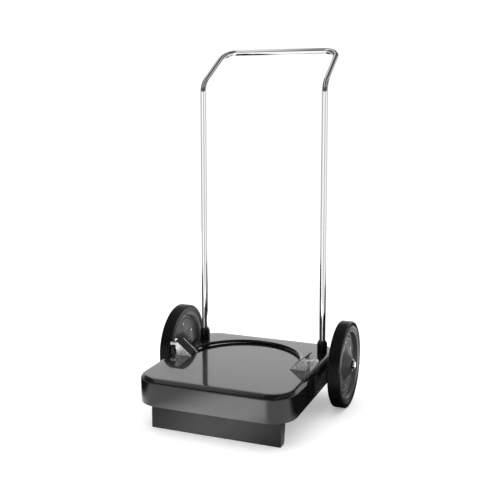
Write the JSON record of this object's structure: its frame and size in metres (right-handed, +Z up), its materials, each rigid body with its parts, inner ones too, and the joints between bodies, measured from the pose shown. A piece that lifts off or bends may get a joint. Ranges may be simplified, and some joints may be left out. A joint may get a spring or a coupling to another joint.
{
  "type": "drum dolly",
  "caption": "Two-wheeled drum dolly with a pressed steel deck, front foot, solid tyres, bent tube push handle, rod hoop and a pair of hinged clamps worked by studs with wing nuts.",
  "frame": {"origin": "on the floor under the middle of the overall bounding box", "axes": "+X to the right of someone facing the front foot from behind the handle, along the axle; +Y to the rear, towards the handle; +Z up"},
  "size_m": [0.598, 0.58, 1.061],
  "materials": {
    "deck_paint": "gloss",
    "foot_paint": "satin",
    "under_paint": "satin",
    "chrome_tube": "polished",
    "zinc": "bright zinc plate",
    "axle_steel": "bright",
    "tyre_rubber": "moulded, slightly dull",
    "disc_paint": "semi-gloss",
    "hub_steel": "turned",
    "bushing_plastic": "matt",
    "pad_rubber": "matt"
  },
  "bodies": {
    "frame": {"deck_pan": "deck_paint", "stiffener_left": "under_paint", "stiffener_right": "under_paint", "axle_bracket_left": "under_paint", "axle_bracket_right": "under_paint", "front_foot": "foot_paint", "foot_gussets": "under_paint", "axle": "axle_steel", "axle_spacers": "axle_steel", "axle_washers": "axle_steel", "push_nuts": "axle_steel", "handle": "chrome_tube", "handle_socket_left": "deck_paint", "handle_socket_right": "deck_paint", "socket_nuts": "zinc", "socket_screws": "zinc", "hoop": "deck_paint", "clamp_bracket_left": "zinc", "clamp_bracket_right": "zinc", "clamp_pins": "zinc", "bracket_bolts": "zinc", "bracket_nuts": "zinc"},
    "wheel_left": {"tyre_left": "tyre_rubber", "wheel_disc_outer_left": "disc_paint", "wheel_disc_inner_left": "disc_paint", "wheel_rivets_left": "zinc", "hub_left": "hub_steel", "bushings_left": "bushing_plastic"},
    "wheel_right": {"tyre_right": "tyre_rubber", "wheel_disc_outer_right": "disc_paint", "wheel_disc_inner_right": "disc_paint", "wheel_rivets_right": "zinc", "hub_right": "hub_steel", "bushings_right": "bushing_plastic"},
    "plate_left": {"clamp_plate_left": "deck_paint", "clamp_pad_left": "pad_rubber"},
    "tip_left": {"stud_tip_left": "zinc"},
    "stud_left": {"clamp_stud_left": "zinc"},
    "washer_left": {"wing_washer_left": "zinc"},
    "wing_left": {"wing_nut_left": "zinc"},
    "plate_right": {"clamp_plate_right": "deck_paint", "clamp_pad_right": "pad_rubber"},
    "tip_right": {"stud_tip_right": "zinc"},
    "stud_right": {"clamp_stud_right": "zinc"},
    "washer_right": {"wing_washer_right": "zinc"},
    "wing_right": {"wing_nut_right": "zinc"}
  },
  "joints": [
    {"name": "wheel_left_spin", "type": "hinge", "parent": "frame", "child": "wheel_left", "pos_m": [-0.266, 0.106, 0.127], "axis": [1, 0, 0], "continuous": true},
    {"name": "wheel_right_spin", "type": "hinge", "parent": "frame", "child": "wheel_right", "pos_m": [0.266, 0.106, 0.127], "axis": [1, 0, 0], "continuous": true},
    {"name": "stud_left_turn", "type": "hinge", "parent": "tip_left", "child": "stud_left", "pos_m": [-0.205, -0.046, 0.178], "axis": [1, 0, 0], "range_deg": [0, 2165]},
    {"name": "tip_left_slide", "type": "slide", "parent": "frame", "child": "tip_left", "axis": [1, 0, 0], "range_m": [0, 0.006]},
    {"name": "plate_left_swing", "type": "hinge", "parent": "frame", "child": "plate_left", "pos_m": [-0.16643, -0.046, 0.15672], "axis": [0, 1, 0], "range_deg": [0, 7.3]},
    {"name": "wing_left_turn", "type": "hinge", "parent": "washer_left", "child": "wing_left", "pos_m": [-0.2095, -0.046, 0.178], "axis": [-1, 0, 0], "range_deg": [0, 905]},
    {"name": "washer_left_slide", "type": "slide", "parent": "frame", "child": "washer_left", "axis": [-1, 0, 0], "range_m": [0, 0.0025]},
    {"name": "stud_right_turn", "type": "hinge", "parent": "tip_right", "child": "stud_right", "pos_m": [0.205, -0.046, 0.178], "axis": [-1, 0, 0], "range_deg": [0, 2165]},
    {"name": "tip_right_slide", "type": "slide", "parent": "frame", "child": "tip_right", "axis": [-1, 0, 0], "range_m": [0, 0.006]},
    {"name": "plate_right_swing", "type": "hinge", "parent": "frame", "child": "plate_right", "pos_m": [0.16643, -0.046, 0.15672], "axis": [0, -1, 0], "range_deg": [0, 7.3]},
    {"name": "wing_right_turn", "type": "hinge", "parent": "washer_right", "child": "wing_right", "pos_m": [0.2095, -0.046, 0.178], "axis": [1, 0, 0], "range_deg": [0, 905]},
    {"name": "washer_right_slide", "type": "slide", "parent": "frame", "child": "washer_right", "axis": [1, 0, 0], "range_m": [0, 0.0025]}
  ],
  "couplings": [
    {"joint": "stud_left_turn", "follows": "tip_left_slide", "rad_per_m": 6283.2},
    {"joint": "plate_left_swing", "follows": "tip_left_slide", "rad_per_m": 20.566},
    {"joint": "wing_left_turn", "follows": "washer_left_slide", "rad_per_m": 6283.2},
    {"joint": "stud_right_turn", "follows": "tip_right_slide", "rad_per_m": 6283.2},
    {"joint": "plate_right_swing", "follows": "tip_right_slide", "rad_per_m": 20.566},
    {"joint": "wing_right_turn", "follows": "washer_right_slide", "rad_per_m": 6283.2}
  ]
}
